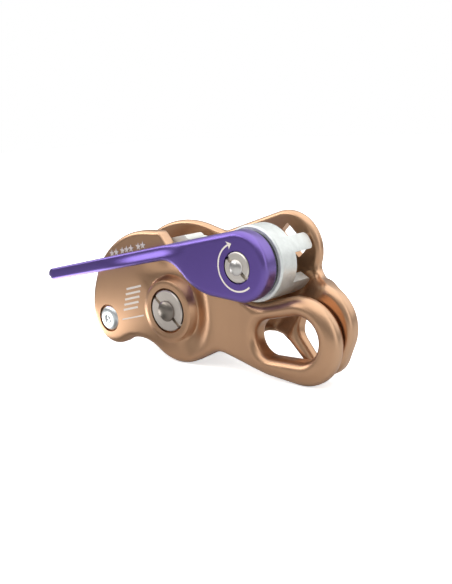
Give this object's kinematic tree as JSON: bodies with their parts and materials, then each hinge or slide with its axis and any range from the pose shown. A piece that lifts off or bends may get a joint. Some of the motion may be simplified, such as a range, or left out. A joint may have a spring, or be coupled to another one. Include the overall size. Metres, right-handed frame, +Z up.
{
  "type": "assisted braking belay device",
  "caption": "Climbing belay device with two forged plates, a sprung rope cam, a violet release lever on a steel crown, and a carabiner eye through both plates.",
  "frame": {"origin": "middle of the bounding box in plan, on its lowest level", "axes": "+X towards the carabiner eye, +Y from the front plate to the rear plate, +Z up, the side of the release lever"},
  "size_m": [0.1076, 0.025, 0.0452],
  "materials": {
    "bronze_plate": "satin bronze anodised",
    "lever_violet": "satin violet anodised",
    "bright_steel": "fine satin",
    "dark_steel": "burnished",
    "spring_steel": "drawn wire",
    "bronze_bush": "turned",
    "black_spacer": "matt black"
  },
  "bodies": {
    "chassis": {"rear_plate": "bronze_plate", "main_axle": "dark_steel", "main_nut": "bright_steel", "nut_washer": "bright_steel", "front_thrust_washer": "bronze_bush", "spring_collar": "bright_steel", "friction_plate": "bright_steel", "friction_rivets": "bright_steel", "lever_axle": "bright_steel", "lever_nut": "bright_steel"},
    "swing_plate": {"front_plate": "bronze_plate", "front_bush": "bronze_bush", "wear_insert": "bright_steel", "wear_rivet": "bright_steel"},
    "cam_unit": {"cam": "bright_steel", "cam_bush": "bronze_bush", "cam_spring": "spring_steel"},
    "lever_unit": {"release_lever": "lever_violet", "crown_drum": "bright_steel", "lever_bush": "bronze_bush", "lever_spacer": "black_spacer", "drive_pins": "bright_steel", "lever_spring": "spring_steel"}
  },
  "joints": [
    {"name": "plate_swing", "type": "hinge", "parent": "chassis", "child": "swing_plate", "pos_m": [-0.0057, -0.0054, 0.01578], "axis": [0, 1, 0], "range_deg": [0, 86]},
    {"name": "cam_pivot", "type": "hinge", "parent": "chassis", "child": "cam_unit", "pos_m": [-0.0057, -0.0054, 0.01578], "axis": [0, 1, 0], "range_deg": [0, 12], "stiffness_Nm_per_rad": 0.06, "springref_deg": -28.65, "deforming": ["cam_spring"]},
    {"name": "lever_pivot", "type": "hinge", "parent": "chassis", "child": "lever_unit", "pos_m": [0.0274, -0.0054, 0.03243], "axis": [0, 1, 0], "range_deg": [0, 110], "stiffness_Nm_per_rad": 0.05, "springref_deg": -34.38, "deforming": ["lever_spring"]}
  ]
}
